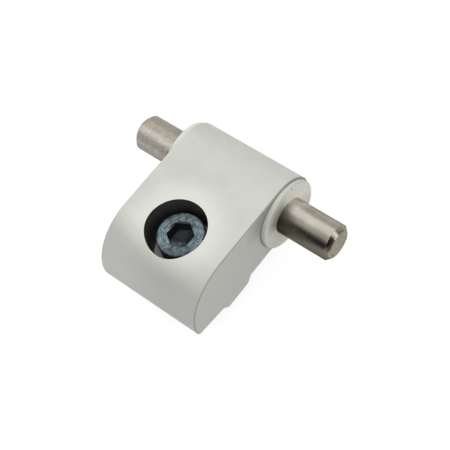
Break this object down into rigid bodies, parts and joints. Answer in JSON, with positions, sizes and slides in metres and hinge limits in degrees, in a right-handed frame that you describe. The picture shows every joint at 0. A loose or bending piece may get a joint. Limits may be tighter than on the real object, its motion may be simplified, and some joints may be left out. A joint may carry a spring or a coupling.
{
  "type": "lift-off hinge leaf",
  "caption": "Aluminium lift-off hinge leaf with a keyed base, a counterbored cap screw and a through pin in flanged bushings.",
  "frame": {"origin": "where the screw hole's axis leaves the flat underside of the key", "axes": "+X along the hinge pin, +Y from the nose of the leaf to its barrel, +Z out of the rail towards the screw's head"},
  "size_m": [0.0508, 0.0379, 0.0213],
  "materials": {
    "anodised_aluminium": "satin clear anodised",
    "bushing_plastic": "off-white matt",
    "pin_steel": "ground bright steel",
    "screw_steel": "blue-black zinc"
  },
  "bodies": {
    "leaf": {"hinge_body": "anodised_aluminium", "bushing_right": "bushing_plastic", "bushing_left": "bushing_plastic"},
    "pin": {"hinge_pin": "pin_steel"},
    "screw": {"cap_screw": "screw_steel"}
  },
  "joints": [
    {"name": "pin_turn", "type": "hinge", "parent": "leaf", "child": "pin", "pos_m": [0, 0.0174, 0.00815], "axis": [1, 0, 0], "continuous": true},
    {"name": "screw_turn", "type": "hinge", "parent": "leaf", "child": "screw", "pos_m": [0, 0.0004, 0], "axis": [0, 0, 1], "continuous": true}
  ]
}
